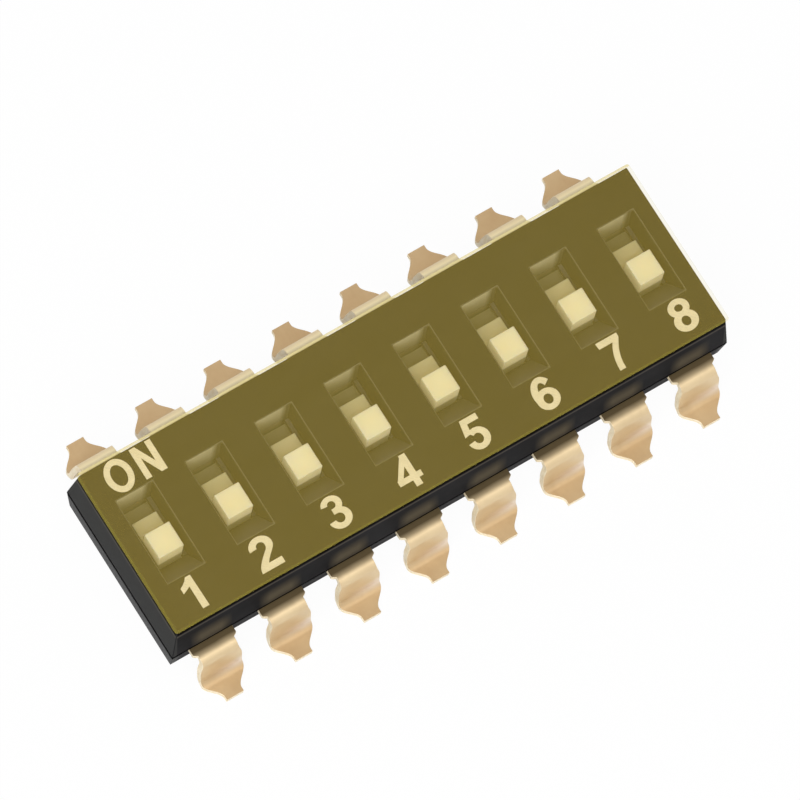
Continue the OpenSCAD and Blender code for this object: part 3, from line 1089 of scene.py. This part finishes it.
@dataclass
class Lead:
    """One gull-wing lead, swept along its bends with a width that changes on the way."""

    number: int
    side: Side
    thick: float = 0.22
    neck_out: float = 0.34
    lean: float = 7.5
    upper_r: float = 0.34
    lower_r: float = 0.28
    shoulder_half: float = 0.79
    shoulder_length: float = 0.22
    neck_half: float = 0.65
    neck_drop: float = 0.06
    calf_half: float = 0.76
    calf_z: float = 0.92
    foot_wide: float = 0.86
    toe_half: float = 0.31
    toe_length: float = 0.12
    tail_half: float = 0.45
    pad_half: float = 0.4
    cover_over: float = 0.05
    bend_steps: int = 12
    edge: float = 0.02
    across: int = 6

    def half_width(self, out: float, z: float, top: float, toe: float) -> float:
        """Half width of the strip at a place in its side view.

        Args:
            out: Distance from the package.
            z: Height above the board.
            top: Height of the level strip's upper face.
            toe: Distance from the package to the toe.

        Returns:
            Half the width there.
        """
        if out <= self.neck_out:
            return eased(out, [(self.shoulder_length, self.shoulder_half),
                               (self.neck_out, self.neck_half)])
        leg = eased(z, [(self.calf_z, self.calf_half), (top - self.neck_drop, self.neck_half)])
        foot = eased(out, [(self.foot_wide, self.calf_half),
                           (toe - self.toe_length, self.toe_half)])
        return min(leg, foot)

    def centre_line(self, top: float, toe: float) -> list[tuple[float, float, float, float]]:
        """Side view outside the package, from its side to the toe.

        Args:
            top: Height of the level strip's upper face.
            toe: Distance from the package to the toe.

        Returns:
            Upper face (out, height) and lower face (out, height) at each step.
        """
        t, lean = self.thick, math.radians(self.lean)
        reach = self.upper_r + self.lower_r
        upper_z = top - self.upper_r
        lower_z = t + self.lower_r
        fall = upper_z - lower_z + reach * math.sin(lean)
        lower_out = self.neck_out + reach * math.cos(lean) + fall * math.tan(lean)

        def turn(out: float, z: float, r_up: float, r_low: float, degrees: float) -> tuple:
            """One step of a bend."""
            run, rise = math.cos(math.radians(degrees)), math.sin(math.radians(degrees))
            return out + r_up * run, z + r_up * rise, out + r_low * run, z + r_low * rise

        steps = [(out, top, out, top - t) for out in
                 [self.shoulder_length * k / 3 for k in range(4)]
                 + [self.shoulder_length + (self.neck_out - self.shoulder_length) * k / 8
                    for k in range(1, 9)]]
        steps += [turn(self.neck_out, upper_z, self.upper_r, self.upper_r - t,
                       90 - (90 - self.lean) * k / self.bend_steps)
                  for k in range(1, self.bend_steps + 1)]
        start = steps[-1]
        end = turn(lower_out, lower_z, self.lower_r, self.lower_r + t, 180 + self.lean)
        steps += [tuple(a + (b - a) * k / 10 for a, b in zip(start, end)) for k in range(1, 10)]
        steps += [turn(lower_out, lower_z, self.lower_r, self.lower_r + t,
                       180 + self.lean + (90 - self.lean) * k / self.bend_steps)
                  for k in range(self.bend_steps + 1)]
        bare = toe - self.toe_length
        steps += [(out, t, out, 0.0) for out in
                  [lower_out + (bare - lower_out) * k / 12 for k in range(1, 13)] + [toe]]
        return steps

    def cross_sections(self, tail: float, top: float, toe: float) -> list[tuple]:
        """Sections from the inner end to the toe.

        Args:
            tail: Length of the strip inside the package.
            top: Height of the level strip's upper face.
            toe: Distance from the package to the toe.

        Returns:
            Out, height and half width of the upper face, then of the lower face, at each step.
        """
        root = 1.5 * self.shoulder_length
        cuts = [(out, top, half, out, top - self.thick, half) for out, half in (
            (-tail, self.tail_half), (-root - 0.02, self.tail_half), (-root, self.shoulder_half))]
        for up_out, up_z, low_out, low_z in self.centre_line(top, toe):
            cuts.append((up_out, up_z, self.half_width(up_out, up_z, top, toe),
                         low_out, low_z, self.half_width(low_out, low_z, top, toe)))
        return cuts

    def pad_span(self, near: float) -> tuple[float, float]:
        """Inner and outer end of the contact pad, from the middle of the package."""
        return near, near + (0.9 if self.side is Side.FRONT else 0.3)

    def build(self, side_y: float, finishes: Sequence[bpy.types.Material]) -> bpy.types.Object:
        """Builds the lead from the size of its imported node.

        Args:
            side_y: Distance of the package's side from its middle in millimetres.
            finishes: The plated strip and its cut edge.

        Returns:
            The lead.
        """
        end = self.side.name.lower()
        node = f"lead_{end}_{self.number}"
        low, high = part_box(node)
        sign = self.side.value
        x = middle_x(node)
        near, far = sorted((sign * low[1] / MM, sign * high[1] / MM))
        top = high[2] / MM - self.cover_over
        draft = Draft()
        rings = []
        for up_out, up_z, up_half, low_out, low_z, low_half in self.cross_sections(
                side_y - near, top, far - side_y):
            shares = [2 * k / self.across - 1 for k in range(self.across + 1)]
            rings.append(draft.loop(
                [(x + up_half * s, sign * (side_y + up_out), up_z) for s in shares]
                + [(x - low_half * s, sign * (side_y + low_out), low_z) for s in shares]))
        count = 2 * self.across + 2
        for first, second in zip(rings, rings[1:]):
            for k in range(count):
                n = (k + 1) % count
                draft.face((first[k], first[n], second[n], second[k]),
                           1 if k in (self.across, count - 1) else 0)
        draft.face(rings[0], 1)
        draft.face(rings[-1], 1)
        ys = sorted(sign * place for place in self.pad_span(near))
        draft.box((x - self.pad_half, ys[0], top - self.thick / 2),
                  (x + self.pad_half, ys[1], top + self.cover_over + 0.003))
        piece = draft.build(f"{end}_lead_{self.number}", finishes, 40.0)
        round_edges(piece, self.edge, 2, 50.0)
        seat(piece, HOUSING, "lead", node)
        return piece


@dataclass
class Studio:
    """Floor, lamps, world and the camera at the photograph's viewing angle."""

    azimuth: float = -46.78
    elevation: float = 71.0
    roll: float = 15.64
    distance: float = 308.3
    pixels_per_mm: float = 32.02
    centre_px: tuple[float, float] = (404.18, 397.39)
    image_px: float = 800.0
    world_light: float = 0.36

    def axes(self) -> tuple[Vector, Vector, Vector]:
        """Camera's right, up and backward directions."""
        a, e, r = (math.radians(v) for v in (self.azimuth, self.elevation, self.roll))
        back = Vector((math.sin(a) * math.cos(e), -math.cos(a) * math.cos(e), math.sin(e)))
        right = Vector((math.cos(a), math.sin(a), 0.0))
        up = back.cross(right)
        return (right * math.cos(r) + up * math.sin(r),
                up * math.cos(r) - right * math.sin(r), back)

    def camera(self, top_z: float) -> None:
        """Places the camera.

        Args:
            top_z: Height of the cover's top in millimetres.
        """
        right, up, back = self.axes()
        aside = (self.centre_px[0] - self.image_px / 2) / self.pixels_per_mm
        above = (self.image_px / 2 - self.centre_px[1]) / self.pixels_per_mm
        target = Vector((0, 0, top_z)) - right * aside - up * above
        data = bpy.data.cameras.new("camera")
        data.sensor_width = 36.0
        data.lens = data.sensor_width * self.pixels_per_mm * self.distance / self.image_px
        data.clip_start, data.clip_end = 0.01, 10.0
        camera = bpy.data.objects.new("camera", data)
        turn = Matrix((right, up, back)).transposed().to_4x4()
        camera.matrix_world = Matrix.Translation((target + back * self.distance) * MM) @ turn
        bpy.context.scene.collection.objects.link(camera)
        bpy.context.scene.camera = camera

    def floor(self) -> None:
        """Lays the floor under the toes."""
        mesh = bpy.data.meshes.new("floor")
        half = 0.6
        mesh.from_pydata([(-half, -half, 0), (half, -half, 0), (half, half, 0), (-half, half, 0)],
                         [], [(0, 1, 2, 3)])
        mesh.materials.append(PaperFloor().make())
        floor = bpy.data.objects.new("floor", mesh)
        bpy.context.scene.collection.objects.link(floor)
        floor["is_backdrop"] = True

    def lamp(self, name: str, azimuth: float, elevation: float, size: float, power: float,
             distance: float = 260.0) -> None:
        """Adds one soft lamp that looks at the package.

        Args:
            name: Name of the lamp.
            azimuth: Its direction seen from the package; 0 is the front, 90 the right end.
            elevation: Its angle above the floor.
            size: Side of its square face in millimetres.
            power: Its power in watts.
            distance: Its distance in millimetres.
        """
        a, e = math.radians(azimuth), math.radians(elevation)
        back = Vector((math.sin(a) * math.cos(e), -math.cos(a) * math.cos(e), math.sin(e)))
        data = bpy.data.lights.new(name, "AREA")
        data.size = size * MM
        data.energy = power
        lamp = bpy.data.objects.new(name, data)
        lamp.location = back * distance * MM
        lamp.rotation_mode = "QUATERNION"
        lamp.rotation_quaternion = back.to_track_quat("Z", "Y")
        bpy.context.scene.collection.objects.link(lamp)

    def world(self) -> None:
        """Gives an even white surrounding that lights pieces less than it shows."""
        world = bpy.data.worlds.new("surrounding")
        bpy.context.scene.world = world
        graph = Graph(world)
        strength = seen_directly(graph) * (1 - self.world_light) + self.world_light
        sky = graph.node("ShaderNodeBackground", None,
                         {"Color": (1, 1, 1, 1), "Strength": strength})
        graph.node("ShaderNodeOutputWorld", None, {"Surface": sky})

    def build(self, top_z: float) -> None:
        """Sets up everything around the package."""
        bpy.context.scene.view_settings.view_transform = "Standard"
        self.camera(top_z)
        self.floor()
        self.lamp("key_lamp", -47.0, 56.0, 260.0, 0.58)
        self.lamp("fill_lamp", 150.0, 45.0, 400.0, 0.08)
        self.world()
        log.info("studio is ready")


def corners() -> list[list[float]]:
    """Lowest and highest corner of everything shown, as plain lists."""
    low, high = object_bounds()
    return [list(low), list(high)]


def main() -> None:
    """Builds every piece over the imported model."""
    logging.basicConfig(level=logging.INFO, format="%(name)s: %(message)s")
    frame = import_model()
    nodes = frame["nodes"]
    top_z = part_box("cover")[1][2] / MM
    side_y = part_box("cover")[1][1] / MM

    plating = [PlatedStrip("lead_plating", (226, 202, 160), (180, 146, 102)).make(),
               CutStrip().make()]
    spring = PlatedStrip("spring_plating", (222, 184, 110), (206, 160, 92), metallic=0.9,
                         roughness=0.3, painted_body_reflection_out=(-2.0, -1.0)).make()
    cream = CreamMoulding().make()
    ink = PrintedInk().make()

    # the slots' ramps and floors take a paler copy of the black moulding, painted light for light
    # falling into the slots
    Cover().build([BlackMoulding("cover_black").make(), PaintedEdgeHighlight().make(), SlotEndWall().make(),
                   BlackMoulding("cover_slot_ramp_painted_light", tone=0.06).make(), CoverSide().make()])
    Base().dress(nodes["base"], BaseSide().make(), BaseSide("base_edge_painted_highlight", tone=0.07).make())
    for number in range(1, POSITIONS + 1):
        Actuator(number).build(top_z, cream)
        dress(nodes[f"moving_contact_{number}"], spring)
        for side in Side:
            Lead(number, side).build(side_y, plating)
    for name in ("print_on", "print_digits"):
        dress(nodes[name], ink)
    # the film's rim has three copies with painted light and shade: the shaded copy at the front and
    # left, a painted highlight at the back, a plainer copy at the right
    Film().build([AmberFilm("film_amber", (248, 219, 103), 0.105).make(),
                  AmberFilm("film_rim_shaded", (244, 223, 98), 0.135).make(),
                  AmberFilm("film_rim_bright", (250, 236, 172), 0.5).make(),
                  AmberFilm("film_rim_clear", (240, 224, 110), 0.09).make()])
    Studio().build(top_z)


if __name__ == "__main__":
    main()
